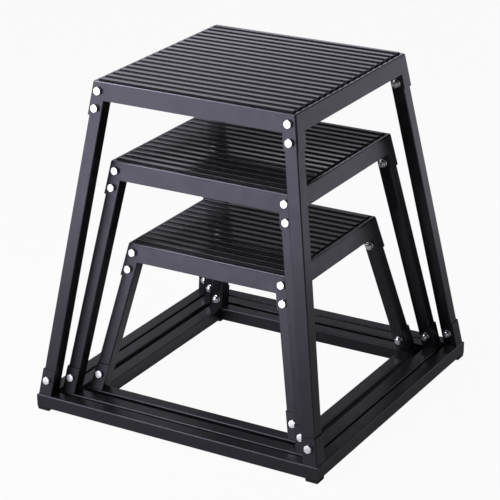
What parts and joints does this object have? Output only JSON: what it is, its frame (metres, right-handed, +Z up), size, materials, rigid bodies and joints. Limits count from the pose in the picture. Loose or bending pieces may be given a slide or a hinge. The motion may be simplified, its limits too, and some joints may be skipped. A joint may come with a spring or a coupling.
{
  "type": "plyo box",
  "caption": "Nested set of square steel plyo boxes in stepped heights, with leaning bolted tube legs, tube base frames and ribbed rubber tops for step and jump training.",
  "frame": {"origin": "middle of the footprint on the floor, under the nested set", "axes": "+Z up; the mat ribs run along X; the bolt heads are on the front (-Y) and rear (+Y)"},
  "size_m": [0.579, 0.579, 0.6131],
  "materials": {
    "frame_coat": "satin black powder coat",
    "leg_coat": "satin black powder coat",
    "tread_rubber": "matt ribbed rubber",
    "foot_rubber": "matt rubber",
    "zinc_steel": "bright zinc plate"
  },
  "bodies": {
    "small_box": {"small_base_rail_front": "frame_coat", "small_top_rail_front": "frame_coat", "small_base_rail_right": "frame_coat", "small_top_rail_right": "frame_coat", "small_base_rail_rear": "frame_coat", "small_top_rail_rear": "frame_coat", "small_base_rail_left": "frame_coat", "small_top_rail_left": "frame_coat", "small_feet": "foot_rubber", "small_base_leg_sockets": "frame_coat", "small_top_leg_sockets": "frame_coat", "small_leg_front_left": "leg_coat", "small_leg_front_right": "leg_coat", "small_leg_rear_left": "leg_coat", "small_leg_rear_right": "leg_coat", "small_deck_panel": "frame_coat", "small_tread_mat": "tread_rubber", "small_leg_bolts": "zinc_steel", "small_leg_nuts": "zinc_steel"},
    "medium_box": {"medium_base_rail_front": "frame_coat", "medium_top_rail_front": "frame_coat", "medium_base_rail_right": "frame_coat", "medium_top_rail_right": "frame_coat", "medium_base_rail_rear": "frame_coat", "medium_top_rail_rear": "frame_coat", "medium_base_rail_left": "frame_coat", "medium_top_rail_left": "frame_coat", "medium_feet": "foot_rubber", "medium_base_leg_sockets": "frame_coat", "medium_top_leg_sockets": "frame_coat", "medium_leg_front_left": "leg_coat", "medium_leg_front_right": "leg_coat", "medium_leg_rear_left": "leg_coat", "medium_leg_rear_right": "leg_coat", "medium_deck_panel": "frame_coat", "medium_tread_mat": "tread_rubber", "medium_leg_bolts": "zinc_steel", "medium_leg_nuts": "zinc_steel"},
    "large_box": {"large_base_rail_front": "frame_coat", "large_top_rail_front": "frame_coat", "large_base_rail_right": "frame_coat", "large_top_rail_right": "frame_coat", "large_base_rail_rear": "frame_coat", "large_top_rail_rear": "frame_coat", "large_base_rail_left": "frame_coat", "large_top_rail_left": "frame_coat", "large_feet": "foot_rubber", "large_base_leg_sockets": "frame_coat", "large_top_leg_sockets": "frame_coat", "large_leg_front_left": "leg_coat", "large_leg_front_right": "leg_coat", "large_leg_rear_left": "leg_coat", "large_leg_rear_right": "leg_coat", "large_deck_panel": "frame_coat", "large_tread_mat": "tread_rubber", "large_leg_bolts": "zinc_steel", "large_leg_nuts": "zinc_steel"}
  },
  "joints": [
    {"name": "medium_lift", "type": "slide", "parent": "small_box", "child": "medium_box", "axis": [0, 0, 1], "range_m": [0, 0.33]},
    {"name": "large_lift", "type": "slide", "parent": "medium_box", "child": "large_box", "axis": [0, 0, 1], "range_m": [0, 0.48]}
  ]
}
